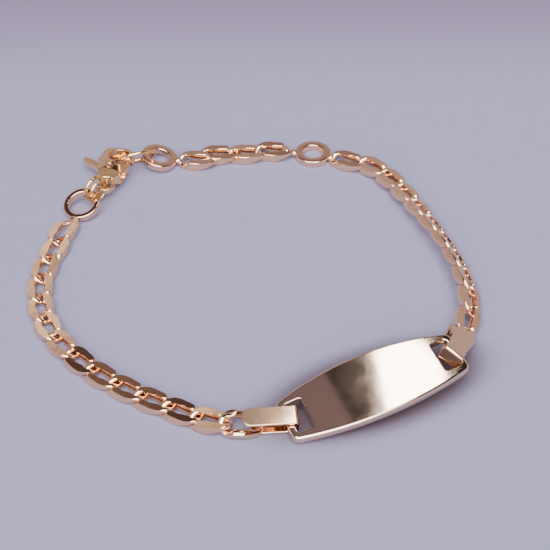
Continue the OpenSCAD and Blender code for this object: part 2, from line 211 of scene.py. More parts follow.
# %% From a bmesh to a finished piece
def finish_piece(name, bm, material, node, place=Matrix(), sharp=40,
                 body="bracelet", even=True, second=None):
    """Lays a model in its place as one piece that stands for its node."""
    bmesh.ops.transform(bm, matrix=Matrix.Scale(MM, 4) @ place, verts=bm.verts)
    bmesh.ops.recalc_face_normals(bm, faces=bm.faces)
    mesh = bpy.data.meshes.new(name)
    bm.to_mesh(mesh)
    bm.free()
    mesh.shade_smooth()
    mesh.set_sharp_from_angle(angle=math.radians(sharp))
    mesh.materials.append(material)
    if second:
        mesh.materials.append(second)
    piece = bpy.data.objects.new(name, mesh)
    bpy.context.collection.objects.link(piece)
    if even:
        piece.modifiers.new("even", "WEIGHTED_NORMAL").keep_sharp = True
    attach(piece, body)
    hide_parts(node)
    return piece


# %% [markdown]
# A solid's own axes can be read from its mesh. The second moments of its surface
# give three square directions: a link is longest along the chain and thinnest
# from face to face, and half a turn about any of the three changes nothing in it.

# %% Read a node's place from its solid
def corners(node):
    """The corners of a solid's triangles, in millimetres."""
    mesh = nodes[node].data
    places = np.array([v.co for v in mesh.vertices]) / MM
    mesh.calc_loop_triangles()
    return places[np.array([t.vertices for t in mesh.loop_triangles])]


def own_frame(node):
    """A solid's middle and its long, middling and short directions, as a matrix."""
    tri = corners(node)
    area = np.linalg.norm(np.cross(tri[:, 1] - tri[:, 0], tri[:, 2] - tri[:, 0]), axis=1) / 2
    middle = (tri.mean(axis=1) * area[:, None]).sum(axis=0) / area.sum()
    tri = tri - middle
    total = tri.sum(axis=1)
    spread = np.einsum("t,tki,tkj->ij", area, tri, tri) + np.einsum("t,ti,tj->ij", area, total, total)
    axes = np.linalg.eigh(spread)[1][:, ::-1]
    x, z = Vector(axes[:, 0]), Vector(axes[:, 2])
    x = x if x.x > 0 else -x
    z = z if z.z > 0 else -z
    frame_axes = Matrix((x, z.cross(x), z)).transposed()
    return Matrix.Translation(Vector(middle)) @ frame_axes.to_4x4()


print("link_05 at, mm:", [round(v, 2) for v in own_frame("link_05").translation])

# %% [markdown]
# A curb link starts as a wire ring, is twisted so that it lies flat beside its
# neighbours, and then the whole chain is filed, which leaves a bright crescent on
# each raised rail. The link is made the same way: a ring of wire is spun, its
# stations are moved to the twisted oval, and two planes file its faces.

# %% Wire spun into a ring
PITCH, CHAIN_W, CHAIN_T, WIRE_W, LINK_PLAY = 3.5, 3.05, 1.15, 0.74, 0.16
LINK_A = (PITCH + WIRE_W + LINK_PLAY) / 2
LINK_B = (CHAIN_W - WIRE_W) / 2
SPUN_R = 2.0


def spun_wire(steps, sides):
    """A ring of wire, 1 mm thick, whose stations can be moved one by one."""
    bm = bmesh.new()
    ring = bmesh.ops.create_circle(bm, segments=sides, radius=0.5)["verts"]
    stand = Matrix.Translation((SPUN_R, 0, 0)) @ Matrix.Rotation(math.pi / 2, 4, "X")
    bmesh.ops.transform(bm, matrix=stand, verts=ring)
    bmesh.ops.spin(bm, geom=bm.verts[:] + bm.edges[:], cent=(0, 0, 0), axis=(0, 0, 1),
                   angle=2 * math.pi, steps=steps, use_merge=True)
    return bm


print("link, mm:", round(2 * LINK_A + WIRE_W, 2), "by", round(2 * LINK_B + WIRE_W, 2))

# %% [markdown]
# Seen from above a link is a slightly squared oval. Seen from the side it twists:
# the wire rises before one end of each rail and dips before the other, so that it
# can pass over one neighbour and under the next. Half of the dip is evened out on
# the rails, which lets the file reach most of their length.

# %% The twisted oval
LINK_RISE = 0.335
OVAL = 0.909
TWIST = 2.5
LEVEL_FROM, LEVEL_TO = 0.72, 0.97
RAIL_FROM, RAIL_TO = 0.60, 0.95


def signed_power(value, power):
    return math.copysign(abs(value) ** power, value)


def ramp(value, low, high):
    """Smoothly 0 below low and 1 above high."""
    t = min(1, max(0, (value - low) / (high - low)))
    return t * t * (3 - 2 * t)


def link_centre(angle, b=LINK_B, level=0.0):
    """A point of the wire's centre line; the angle goes once round the link."""
    c, s = math.cos(angle), math.sin(angle)
    lift = -math.copysign(min(1, TWIST * abs(c * s)), c * s)
    if lift < 0:
        lift *= 1 - ramp(abs(s), LEVEL_FROM, LEVEL_TO)
    return Vector((LINK_A * signed_power(c, OVAL), b * signed_power(s, OVAL),
                   level + LINK_RISE * lift))


def rail(angle):
    """1 in the middle of a link's two long sides, 0 round its ends."""
    return ramp(abs(math.sin(angle)), RAIL_FROM, RAIL_TO)


print("rise of the wire, mm:", round(max(link_centre(i / 10).z for i in range(63)), 3))

# %% [markdown]
# The wire is thin round the ends and thick on the rails, where it also swells into
# the link. Then two planes file away what stands proud, each leaning by a random
# degree or two, so that no two links flash alike. Bisect with clear_outer is the
# file: it cuts the mesh and drops one side, and the hole it leaves is filled.

# %% Bend the wire and file it flat
WIRE_END_T, WIRE_RAIL_T = 0.64, 1.62
RAIL_SWELL = 0.30
LEAN_ALONG, LEAN_ACROSS = 0.025, 0.035


def bend_wire(bm, centre, height):
    """Moves a spun ring onto a closed path; the wire swells inwards on the rails."""
    for v in bm.verts:
        angle = math.atan2(v.co.y, v.co.x)
        u, w = 2 * (math.hypot(v.co.x, v.co.y) - SPUN_R), 2 * v.co.z
        along = centre(angle + 0.02) - centre(angle - 0.02)
        side = Vector((along.y, -along.x, 0)).normalized()
        swell = RAIL_SWELL * ramp(abs(math.sin(angle)), 0.5, 1.0) * (1 - u) / 2
        v.co = (centre(angle) + side * (u * WIRE_W / 2 - swell)
                + Vector((0, 0, w * height(angle) / 2)))


def file_flat(bm, z, lean=(0, 0), edge=0.06):
    """Files away what stands beyond a plane near z and softens the new edge."""
    up = math.copysign(1, z)
    cut = bmesh.ops.bisect_plane(bm, geom=bm.verts[:] + bm.edges[:] + bm.faces[:], dist=1e-5,
                                 plane_co=(0, 0, z), plane_no=(lean[0], lean[1], up),
                                 clear_outer=True)
    rim = [e for e in cut["geom_cut"] if isinstance(e, bmesh.types.BMEdge)]
    bmesh.ops.holes_fill(bm, edges=rim, sides=0)
    rim = [e for e in rim if e.is_valid]
    bmesh.ops.bevel(bm, geom=rim, offset=edge, segments=3, profile=0.5, affect="EDGES",
                    material=-1, clamp_overlap=True)


def wire_height(angle):
    return WIRE_END_T + (WIRE_RAIL_T - WIRE_END_T) * rail(angle)


def curb_link():
    bm = spun_wire(72, 20)
    bend_wire(bm, link_centre, wire_height)
    for z in (CHAIN_T / 2, -CHAIN_T / 2):
        file_flat(bm, z, (random.uniform(-LEAN_ALONG, LEAN_ALONG),
                          random.uniform(-LEAN_ACROSS, LEAN_ACROSS)))
    return bm


# %% Lay a filed link in the place of each link's solid
for name in sorted(n for n in nodes if n.startswith("link_")):
    finish_piece("filed_" + name, curb_link(), CHAIN_GOLD, name, own_frame(name))
print("links:", sum(n.startswith("link_") for n in nodes))

# %% [markdown]
# Three flat washers are let into the chain: one at each end for the clasp, and one
# to wear the bracelet shorter. Each has a link soldered to its rim. The ring is a
# square spun round and its rims are broken by a small bevel, which is where the
# photograph shows two bright circles; the solder is a flattened drop.

# %% A flat ring, a drop of solder, and a ring with its soldered links
RING_D, RING_T, SOLDER_GAP = 4.6, 0.85, 0.1
RING_STEP = RING_D / 2 + LINK_A + WIRE_W / 2 + SOLDER_GAP
RING_RIM = 0.18
SOLDER_R, SOLDER_SHAPE, SOLDER_SINK = 0.52, (1.1, 1.05, 0.80), 0.02


def turned(x=0, y=0, z=0):
    """A rotation by degrees about x, then y, then z."""
    return (Matrix.Rotation(math.radians(z), 4, "Z") @ Matrix.Rotation(math.radians(y), 4, "Y")
            @ Matrix.Rotation(math.radians(x), 4, "X"))


def washer(hole_d):
    bm = bmesh.new()
    inner, outer, half = hole_d / 2, RING_D / 2, RING_T / 2
    square = [bm.verts.new(p) for p in ((inner, 0, -half), (outer, 0, -half),
                                        (outer, 0, half), (inner, 0, half))]
    sides = [bm.edges.new((square[i], square[(i + 1) % 4])) for i in range(4)]
    bmesh.ops.spin(bm, geom=square + sides, cent=(0, 0, 0), axis=(0, 0, 1),
                   angle=2 * math.pi, steps=96, use_merge=True)
    rims = [e for e in bm.edges if e.calc_face_angle(0) > 1]
    bmesh.ops.bevel(bm, geom=rims, offset=RING_RIM, segments=4, profile=0.6, affect="EDGES",
                    material=-1, clamp_overlap=True)
    return bm


def add_shape(bm, other, place):
    """Adds another bmesh to bm at a place."""
    scratch = bpy.data.meshes.new("scratch")
    bmesh.ops.transform(other, matrix=place, verts=other.verts)
    other.to_mesh(scratch)
    other.free()
    bm.from_mesh(scratch)
    bpy.data.meshes.remove(scratch)


def solder_drop():
    bm = bmesh.new()
    bmesh.ops.create_uvsphere(bm, u_segments=20, v_segments=12, radius=SOLDER_R)
    bmesh.ops.scale(bm, vec=SOLDER_SHAPE, verts=bm.verts)
    return bm


def soldered(ring, ring_place, links):
    """A flat ring with a link at each of the places given, and the solder between."""
    bm = bmesh.new()
    add_shape(bm, ring, ring_place)
    joint = Matrix.Translation((-(LINK_A + WIRE_W / 2) + SOLDER_SINK, 0, 0))
    for link_place in links:
        add_shape(bm, curb_link(), link_place)
        add_shape(bm, solder_drop(), link_place @ joint)
    return bm


print("ring's middle to its link's middle, mm:", round(RING_STEP, 2))

# %% [markdown]
# The adjusting ring lies flat with a link on each side. The two rings at the clasp
# lean on their lower rims, because the clasp's rings lift one side of them. How high
# the middle of a leaning ring is follows from its lean.

# %% Lay the three flat rings
LIE = 0.02
CLOSING = Matrix.Translation((-21.094, 12.895, LIE)) @ turned(z=-2.1)
ADJUSTER = Matrix.Translation((7.552, 24.144, LIE)) @ turned(z=-2.43)
SMALL_HOLE, FRONT_HOLE = 2.6, 3.3
ADJUSTER_TURNS = (180, -20)
FRONT_LEAN, FRONT_WAY, FRONT_LINK_WAY = 18, 52, 70
END_LEAN, END_X, END_Y = 13, 8.6, 10.1


def leaning_height(lean):
    """How high a flat ring's middle is when the ring leans on its lower rim."""
    tilt = math.radians(lean)
    return RING_D / 2 * math.sin(tilt) + RING_T / 2 * math.cos(tilt)


adjuster_links = [ADJUSTER @ turned(z=turn) @ Matrix.Translation((RING_STEP, 0, CHAIN_T / 2))
                  for turn in ADJUSTER_TURNS]
finish_piece("adjusting_washer", soldered(
    washer(SMALL_HOLE), ADJUSTER @ Matrix.Translation((0, 0, RING_T / 2)), adjuster_links),
    RING_GOLD, "adjusting_ring")

front_ring_place = (CLOSING @ Matrix.Translation((0, 0, leaning_height(FRONT_LEAN)))
                    @ turned(z=FRONT_WAY) @ turned(y=-FRONT_LEAN) @ turned(z=-FRONT_WAY))
front_link_place = (CLOSING @ turned(z=FRONT_LINK_WAY)
                    @ Matrix.Translation((-RING_STEP, 0, CHAIN_T / 2)) @ turned(z=180))
finish_piece("front_washer", soldered(washer(FRONT_HOLE), front_ring_place, [front_link_place]),
             RING_GOLD, "front_ring")

end_ring_place = (CLOSING @ Matrix.Translation((END_X, END_Y, leaning_height(END_LEAN)))
                  @ turned(y=END_LEAN))
end_link_place = CLOSING @ Matrix.Translation((END_X + RING_STEP, END_Y, CHAIN_T / 2))
finish_piece("end_washer", soldered(washer(SMALL_HOLE), end_ring_place, [end_link_place]),
             RING_GOLD, "end_ring")
print("middle of the front ring, mm:", [round(v, 2) for v in front_ring_place.translation])

# %% [markdown]
# Jump rings are round wire, bent round and closed. Each is the same spun ring,
# scaled to its own radius and wire.

# %% Jump rings
JUMP_WIRE = 0.45
JUMP_RINGS = {"jump_ring_left": 1.6, "jump_ring_right": 1.6, "claw_ring": 2.44}


def jump_ring(radius):
    bm = spun_wire(96, 24)
    for v in bm.verts:
        angle = math.atan2(v.co.y, v.co.x)
        reach = radius + (math.hypot(v.co.x, v.co.y) - SPUN_R) * JUMP_WIRE
        v.co = Vector((reach * math.cos(angle), reach * math.sin(angle), v.co.z * JUMP_WIRE))
    return bm


for name, radius in JUMP_RINGS.items():
    finish_piece("round_" + name, jump_ring(radius), JUMP_GOLD, name, own_frame(name))
print("jump rings:", len(JUMP_RINGS))

# %% [markdown]
# The name plate is stamped from sheet, arched, and tumbled until its rim is round.
# Its mirror has to be perfectly even, so it isn't cut from other solids but drawn
# as an outline with two slots. Two functions say how deep a point of the plate lies
# inside its outer edge and how far outside a slot, which the rims need later on.

# %% The plate's sizes, and how far a point is from its edges
PLATE_L, PLATE_W, PLATE_END_W, PLATE_T, PLATE_ARCH = 21.2, 8.0, 5.0, 0.9, 0.5
CORNER_R, BAR_W, SLOT_W, SLOT_L, SLOT_R = 0.8, 0.75, 2.0, 3.9, 0.35
bulge = (PLATE_W - PLATE_END_W) / 2
SIDE_R = ((PLATE_L / 2) ** 2 + bulge ** 2) / (2 * bulge)
ARCH_R = ((PLATE_L / 2) ** 2 + PLATE_ARCH ** 2) / (2 * PLATE_ARCH)
SIDE_Y = PLATE_W / 2 - SIDE_R
corner_x = PLATE_L / 2 - CORNER_R
corner_y = SIDE_Y + math.sqrt((SIDE_R - CORNER_R) ** 2 - corner_x ** 2)
SLOT_X = PLATE_L / 2 - BAR_W - SLOT_W / 2


def rim_depth(x, y):
    """How far a point lies inside the plate's outer edge."""
    x, y = abs(x), abs(y)
    across = SIDE_R - math.hypot(x, y - SIDE_Y)
    outward = Vector((corner_x, corner_y - SIDE_Y)).normalized()
    rel = Vector((x - corner_x, y - corner_y))
    if rel.x > 0 and rel.y > 0 and outward.x * rel.y - outward.y * rel.x < 0:
        return CORNER_R - rel.length
    return min(across, PLATE_L / 2 - x)


def slot_depth(x, y):
    """How far a point lies outside the nearer slot's edge."""
    u = abs(abs(x) - SLOT_X) - (SLOT_W / 2 - SLOT_R)
    v = abs(y) - (SLOT_L / 2 - SLOT_R)
    return math.hypot(max(u, 0), max(v, 0)) + min(max(u, v), 0) - SLOT_R


print("radius of the long sides and of the arch, mm:", round(SIDE_R, 1), round(ARCH_R, 1))

# %% [markdown]
# Spinning a single vertex draws an arc. An outline is a row of arcs, and the short
# straight edges between them are added where one arc's end isn't the next one's
# start. The plate has two long sides and four corners; a slot has four corners.

# %% Outlines from arcs
def arc(bm, start, centre, degrees, steps):
    """Edges from a start point round a centre; returns their first and last vertex."""
    first = bm.verts.new((*start, 0))
    swept = bmesh.ops.spin(bm, geom=[first], cent=(*centre, 0), axis=(0, 0, 1),
                           angle=math.radians(degrees), steps=steps)
    return first, swept["geom_last"][0]


def join_arcs(bm, arcs):
    """Closes a loop: each arc's last vertex is joined to the next arc's first."""
    for (_, last), (first, _) in zip(arcs, arcs[1:] + arcs[:1]):
        if (last.co - first.co).length > 1e-4:
            bm.edges.new((last, first))


def plate_outline(bm):
    side_angle = math.degrees(math.atan2(corner_x, corner_y - SIDE_Y))
    half_x = SIDE_R * math.sin(math.radians(side_angle))
    half_y = SIDE_Y + SIDE_R * math.cos(math.radians(side_angle))
    arcs = []
    for turn in (0, 180):
        half_turn = Matrix.Rotation(math.radians(turn), 2)
        for start, centre, degrees, steps in (
                ((corner_x + CORNER_R, corner_y), (corner_x, corner_y), 90 - side_angle, 10),
                ((half_x, half_y), (0, SIDE_Y), 2 * side_angle, 120),
                ((-half_x, half_y), (-corner_x, corner_y), 90 - side_angle, 10)):
            arcs.append(arc(bm, half_turn @ Vector(start), half_turn @ Vector(centre), degrees,
                            steps))
    join_arcs(bm, arcs)


def slot_outline(bm, x):
    u, v = SLOT_W / 2 - SLOT_R, SLOT_L / 2 - SLOT_R
    arcs = []
    for i, (sx, sy) in enumerate(((1, 1), (-1, 1), (-1, -1), (1, -1))):
        centre = Vector((x + sx * u, sy * v))
        start = centre + Matrix.Rotation(math.radians(90 * i), 2) @ Vector((SLOT_R, 0))
        arcs.append(arc(bm, start, centre, 90, 6))
    join_arcs(bm, arcs)


# %% [markdown]
# The outlines are filled with triangles, and insets then give every rim its rows of
# faces. The rows lie as the stations of a quarter circle seen from above, so they
# are close together where a rounded rim is steep. One more narrow row keeps the
# shading of the flat apart from the rim's.

# %% Fill the plate and give its rims their rows
RIM = 0.28
GUARD_ROW = 0.02
RIM_STATIONS = 7


def flat_plate():
    """The plate's outline and slots, filled, with rows of faces along every rim."""
    bm = bmesh.new()
    plate_outline(bm)
    for x in (SLOT_X, -SLOT_X):
        slot_outline(bm, x)
    bmesh.ops.remove_doubles(bm, verts=bm.verts, dist=1e-4)
    bmesh.ops.triangle_fill(bm, use_beauty=True, edges=bm.edges[:], normal=(0, 0, 1))
    turns = [math.pi / 2 * i / (RIM_STATIONS - 1) for i in range(RIM_STATIONS)]
    depths = [RIM * (1 - math.cos(turn)) for turn in turns] + [RIM + GUARD_ROW]
    inner = bm.faces[:]
    for before, after in zip(depths, depths[1:]):
        bmesh.ops.inset_region(bm, faces=inner, thickness=after - before,
                               use_even_offset=True, use_boundary=True)
    return bm


# %% [markdown]
# The filled outline becomes the plate's two faces. Cuts across it let it bend, the
# rims fall away as quarter circles, more on top than below, and the whole is arched
# lengthwise round a wide circle. The arch is why the plate's mirror goes from dark
# to bright within a few millimetres.

# %% Thickness, round rims and the arch
RIM_DROP, SLOT_RIM, UNDER_RIM = 0.28, 0.10, 0.12
BEND_STEP = 0.3
PLATE_AT = (13.2716, -19.8965, 2.6058)
PLATE_TURN, PLATE_ROLL, PLATE_LEAN = 24.5605, -6, 10


def rounding(depth, radius, drop):
    """How far a rounded rim has fallen at a depth from the edge."""
    return 0 if depth >= radius else drop * (1 - math.sqrt(1 - (1 - max(depth, 0) / radius) ** 2))


def arched(v):
    """The height of a point once the plate is bent round its arch."""
    return math.sqrt((ARCH_R + v.z) ** 2 - v.x ** 2) - ARCH_R


def name_plate():
    bm = flat_plate()
    for i in range(1, int(PLATE_L / BEND_STEP)):
        bmesh.ops.bisect_plane(bm, geom=bm.verts[:] + bm.edges[:] + bm.faces[:], dist=1e-6,
                               plane_co=(-PLATE_L / 2 + BEND_STEP * i, 0, 0), plane_no=(1, 0, 0))
    bmesh.ops.triangulate(bm, faces=bm.faces[:])
    grown = bmesh.ops.extrude_face_region(bm, geom=bm.faces[:], use_keep_orig=True)
    top = {v for v in grown["geom"] if isinstance(v, bmesh.types.BMVert)}
    for v in bm.verts:
        rim, slot = rim_depth(v.co.x, v.co.y), slot_depth(v.co.x, v.co.y)
        if v in top:
            v.co.z = PLATE_T / 2 - max(rounding(rim, RIM, RIM_DROP),
                                       rounding(slot, SLOT_RIM, SLOT_RIM))
        else:
            v.co.z = -PLATE_T / 2 + rounding(min(rim, slot), UNDER_RIM, UNDER_RIM)
        v.co.z = arched(v.co)
    return bm


PLATE_PLACE = (Matrix.Translation(PLATE_AT) @ turned(z=PLATE_TURN) @ turned(y=PLATE_ROLL)
               @ turned(x=PLATE_LEAN))
plate_piece = finish_piece("polished_plate", name_plate(), PLATE_GOLD, "plate", PLATE_PLACE,
                           even=False)
print("plate faces:", len(plate_piece.data.polygons))

# %% [markdown]
# A fold-over connector is a strip of sheet with a round tongue. It is cut out flat,
# its edges are broken, and it is folded round the plate's end bar. The fold is a
# sum along the strip: a straight leaf, a bend, a short side, a bend, and the lower
# leaf, so each vertex only has to know how far along the strip it lies.

# %% Where the flat strip goes when it is folded
STRAP_W, STRAP_L, STRAP_T, LEAF_GAP, TONGUE_R = 2.3, 5.8, 0.3, 1.26, 1.1
LOOP_REACH = 1.65
LOOP_X = STRAP_L + LOOP_REACH - PITCH / 2
LOOP_B = (3.5 - WIRE_W) / 2
LOOP_Z = CHAIN_T / 2 - LEAF_GAP / 2 - STRAP_T
ROOT_Z = -(LEAF_GAP + STRAP_T) / 2 + 0.05
LOWER_L = LOOP_X - LINK_A + WIRE_W + 0.5
FOLD_R = 0.2
LEAF_Z = (LEAF_GAP + STRAP_T) / 2
FOLD_X = FOLD_R - STRAP_T / 2
FOLD_ARC = math.pi / 2 * FOLD_R
FOLD_SIDE = 2 * (LEAF_Z - FOLD_R)
STRIP_L = STRAP_L - FOLD_X + 2 * FOLD_ARC + FOLD_SIDE + LOWER_L - FOLD_X


def folded(u, w):
    """Where a point of the flat strip lies: u along it from the tongue, w above it."""
    top = STRAP_L - FOLD_X
    if u < top:
        return STRAP_L - u, LEAF_Z + w
    u -= top
    if u < FOLD_ARC:
        turn = u / FOLD_R
        return FOLD_X - (FOLD_R + w) * math.sin(turn), LEAF_Z - FOLD_R + (FOLD_R + w) * math.cos(turn)
    u -= FOLD_ARC
    if u < FOLD_SIDE:
        return FOLD_X - FOLD_R - w, LEAF_Z - FOLD_R - u
    u -= FOLD_SIDE
    if u < FOLD_ARC:
        turn = u / FOLD_R
        return FOLD_X - (FOLD_R + w) * math.cos(turn), -LEAF_Z + FOLD_R - (FOLD_R + w) * math.sin(turn)
    return FOLD_X + u - FOLD_ARC, -LEAF_Z - w


print("strip before it is folded, mm:", round(STRIP_L, 2), "by", STRAP_W)

# %% [markdown]
# The strip is drawn flat, because a flat strip can be bevelled all round at once.
# Cuts across it mark where the bends are, and folded() then carries each vertex to
# its place. The faces of the fold's short side get a near-black brown, painted shade.

# %% Cut the strip and fold it
STRAP_EDGE = 0.085
BEND_CUTS = 6


def strip():
    """A connector's strip, folded round the bar, with its fold in the second material, a painted
    shade.
    """
    bm = bmesh.new()
    flat_side = STRAP_W / 2 - TONGUE_R
    tips, ends = [], []
    for side in (1, -1):
        shoulder, tip = arc(bm, (TONGUE_R, side * STRAP_W / 2), (TONGUE_R, side * flat_side),
                            side * 90, 16)
        end = bm.verts.new((STRIP_L, side * STRAP_W / 2, 0))
        bm.edges.new((shoulder, end))
        tips.append(tip)
        ends.append(end)
    bm.edges.new(tips)
    bm.edges.new(ends)
    bmesh.ops.triangle_fill(bm, use_beauty=True, edges=bm.edges[:], normal=(0, 0, 1))
    bmesh.ops.dissolve_limit(bm, angle_limit=0.01, verts=bm.verts, edges=bm.edges)
    grown = bmesh.ops.extrude_face_region(bm, geom=bm.faces[:], use_keep_orig=True)
    top = {v for v in grown["geom"] if isinstance(v, bmesh.types.BMVert)}
    for v in bm.verts:
        v.co.z = STRAP_T / 2 if v in top else -STRAP_T / 2
    bmesh.ops.recalc_face_normals(bm, faces=bm.faces)
    rims = [e for e in bm.edges if e.calc_face_angle(0) > 1]
    bmesh.ops.bevel(bm, geom=rims, offset=STRAP_EDGE, segments=3, profile=0.5, affect="EDGES",
                    material=-1, clamp_overlap=True)
    start = STRAP_L - FOLD_X
    cuts = [start + FOLD_ARC * i / BEND_CUTS for i in range(BEND_CUTS + 1)]
    cuts += [cut + FOLD_ARC + FOLD_SIDE for cut in cuts]
    for u in cuts:
        bmesh.ops.bisect_plane(bm, geom=bm.verts[:] + bm.edges[:] + bm.faces[:], dist=1e-6,
                               plane_co=(u, 0, 0), plane_no=(1, 0, 0))
    # The fold's short side gets the second material, which is painted shade.
    for face in bm.faces:
        if 0 < face.calc_center_median().x - start - FOLD_ARC < FOLD_SIDE:
            face.material_index = 1
    for v in bm.verts:
        x, z = folded(v.co.x, v.co.z)
        v.co = Vector((x, v.co.y, z))
    return bm


# %% [markdown]
# The chain hangs on a loop that is half a curb link. Its other half dips and is
# soldered between the leaves. A connector hangs on the plate's end bar: it is turned
# to the bar's slope and by its own hinge and swing, and slid along until it clears.

# %% The loop, and both connectors in their places
LOOP_END_T, LOOP_RAIL_T = 0.56, 0.80
LOOP_DIP = 1.6
BAR_GAP, BAR_SHIFT = 0.1, 0.45
CONNECTORS = {"left": {"end": -1, "hinge": -9, "swing": -20},
              "right": {"end": 1, "hinge": 32, "swing": 39}}


def loop_centre(angle):
    """The chain's side is a link; the other side dips to lie on the lower leaf."""
    place = link_centre(angle, LOOP_B, LOOP_Z)
    c = math.cos(angle)
    if c < 0:
        place.z = LOOP_Z + (ROOT_Z - LOOP_Z) * min(1, -LOOP_DIP * c)
    return place


def loop_height(angle):
    return LOOP_END_T + (LOOP_RAIL_T - LOOP_END_T) * rail(angle)


def chain_loop():
    bm = spun_wire(72, 20)
    bend_wire(bm, loop_centre, loop_height)
    for z in (CHAIN_T / 2, -CHAIN_T / 2):
        file_flat(bm, LOOP_Z + z)
    bmesh.ops.translate(bm, vec=(LOOP_X, 0, 0), verts=bm.verts)
    return bm


def connector_place(end, hinge, swing):
    """Where a connector's own axes lie when it hangs on one of the plate's end bars."""
    bar_x = PLATE_L / 2 - BAR_W / 2
    slope = math.degrees(math.asin(bar_x / ARCH_R))
    bar = Vector((end * bar_x, BAR_SHIFT, math.sqrt(ARCH_R ** 2 - bar_x ** 2) - ARCH_R))
    reach = (BAR_W * math.cos(math.radians(hinge))
             + PLATE_T * math.sin(abs(math.radians(hinge)))) / 2
    slide = (reach / math.cos(math.radians(swing))
             + STRAP_W / 2 * math.tan(abs(math.radians(swing))) + BAR_GAP)
    turn = turned(z=180 if end < 0 else 0) @ turned(y=slope + hinge) @ turned(z=swing)
    return PLATE_PLACE @ Matrix.Translation(bar) @ turn @ Matrix.Translation((-slide, 0, 0))


# Each connector's second material is the painted shade on its fold.
for side, hang in CONNECTORS.items():
    bm = strip()
    add_shape(bm, chain_loop(), Matrix())
    finish_piece("folded_connector_" + side, bm, STRAP_GOLD, "connector_" + side,
                 connector_place(**hang), sharp=35, second=FOLD_PAINTED_SHADE_GOLD)
print("connectors:", list(CONNECTORS))

# %% [markdown]
# The lobster clasp is cast, so all its corners are soft. A copy of its solid is
# remeshed with small voxels and smoothed, which rounds what the solid leaves square.
# That keeps its every proportion, where modelling it anew would have to match them.

# %% A cast copy of a solid
CLASP_AT, CLASP_TURN = (2.7, 3.1, 1.55), 76
CLASP = CLOSING @ Matrix.Translation(CLASP_AT) @ turned(z=CLASP_TURN)


def soften(bm, passes):
    for i in range(passes):
        bmesh.ops.smooth_vert(bm, verts=bm.verts, factor=0.5, use_axis_x=True,
                              use_axis_y=True, use_axis_z=True)


def cast_copy(node, voxel, passes):
    """A fine, smoothed copy of a solid, in the clasp's own frame, in millimetres."""
    bm = bmesh.new()
    bm.from_mesh(nodes[node].data)
    bmesh.ops.remove_doubles(bm, verts=bm.verts, dist=1e-7)
    bmesh.ops.transform(bm, matrix=CLASP.inverted() @ Matrix.Scale(1 / MM, 4), verts=bm.verts)
    mesh = bpy.data.meshes.new("cast")
    bm.to_mesh(mesh)
    bm.free()
    cast = bpy.data.objects.new("cast", mesh)
    bpy.context.collection.objects.link(cast)
    remesh = cast.modifiers.new("voxels", "REMESH")
    remesh.mode, remesh.voxel_size = "VOXEL", voxel
    fine = bpy.data.meshes.new_from_object(
        cast.evaluated_get(bpy.context.evaluated_depsgraph_get()))
    bpy.data.objects.remove(cast)
    bm = bmesh.new()
    bm.from_mesh(fine)
    bpy.data.meshes.remove(fine)
    soften(bm, passes)
    return bm


print("clasp at, mm:", [round(v, 2) for v in CLASP.translation])

# %% [markdown]
# Four touches follow on the cast copies: the neck is pressed to a wedge on both
# faces, the gap where the lever closes the claw is made narrow, the pin's ends are
# spread as a rivet's are, and the lever widens a little at its root.

# %% Clasp body, lever and pin
NECK_X, NECK_END, NECK_Z, NECK_SLOPE = 1.2, 3.2, 0.36, 0.50
GAP_FILL = 0.62
RIVET_X, RIVET_Y, RIVET_SPREAD, RIVET_TOP = 2.9, 0.2, 1.22, 1.03
LEVER_ROOT = 0.30


def press_neck(bm):
    for v in bm.verts:
        limit = NECK_Z + NECK_SLOPE * (v.co.x - NECK_X)
        if NECK_X < v.co.x < NECK_END and abs(v.co.z) > limit:
            v.co.z = math.copysign(limit, v.co.z)


def narrow_gap(bm):
    for v in bm.verts:
        if v.co.y < -0.2 and abs(v.co.z) > 0.5:
            along = ramp(v.co.x, 2.6, 3.3) * (1 - ramp(v.co.x, 3.4, 3.9))
            v.co.x += GAP_FILL * along * ramp(-v.co.y, 0.2, 0.9)


def spread_rivet(bm):
    for v in bm.verts:
        if abs(v.co.z) > 0.55:
            v.co.x = RIVET_X + (v.co.x - RIVET_X) * RIVET_SPREAD
            v.co.y = RIVET_Y + (v.co.y - RIVET_Y) * RIVET_SPREAD
            v.co.z = math.copysign(min(abs(v.co.z), RIVET_TOP), v.co.z)


def widen_lever(bm):
    for v in bm.verts:
        root = ramp(v.co.y, 0.9, 1.6) * (1 - ramp(v.co.y, 1.4, 4.0))
        outer = ramp(3.0 + 0.47 * (v.co.y - 0.7) - v.co.x, -0.3, 0.3)
        v.co.x -= LEVER_ROOT * root * outer


clasp_body = cast_copy("clasp_body", 0.05, 14)
press_neck(clasp_body)
narrow_gap(clasp_body)
soften(clasp_body, 1)
clasp_pin = cast_copy("clasp_pin", 0.03, 4)
spread_rivet(clasp_pin)
clasp_lever = cast_copy("clasp_lever", 0.04, 6)
widen_lever(clasp_lever)
finish_piece("cast_clasp_body", clasp_body, CLASP_GOLD, "clasp_body", CLASP, sharp=180,
             even=False)
finish_piece("cast_clasp_lever", clasp_lever, CLASP_GOLD, "clasp_lever",
             CLASP, sharp=180, body="lever", even=False)
finish_piece("cast_clasp_pin", clasp_pin, CLASP_GOLD, "clasp_pin",
             CLASP, sharp=180, even=False)

# %% [markdown]
# The bracelet lies on a pale, slightly violet ground. Its tone isn't even: it fades
# to a darker mauve towards the back, and a soft patch under the plate stands for the
# light that a thin, low roof of metal keeps off, which is what shows in the slots.

# %% Ground
GROUND_NEAR, GROUND_BACK, GROUND_UNDER = ((0.232, 0.222, 0.355), (0.165, 0.125, 0.215),
                                          (0.085, 0.060, 0.080))
BACK_FROM, BACK_TO = 36 * MM, 66 * MM
UNDER_AT, UNDER_TURN, UNDER_SIZE = (0.0135, -0.0180, 0), 24.56, (0.0130, 0.0060, 1)
UNDER_FROM, UNDER_TO = 0.75, 1.30

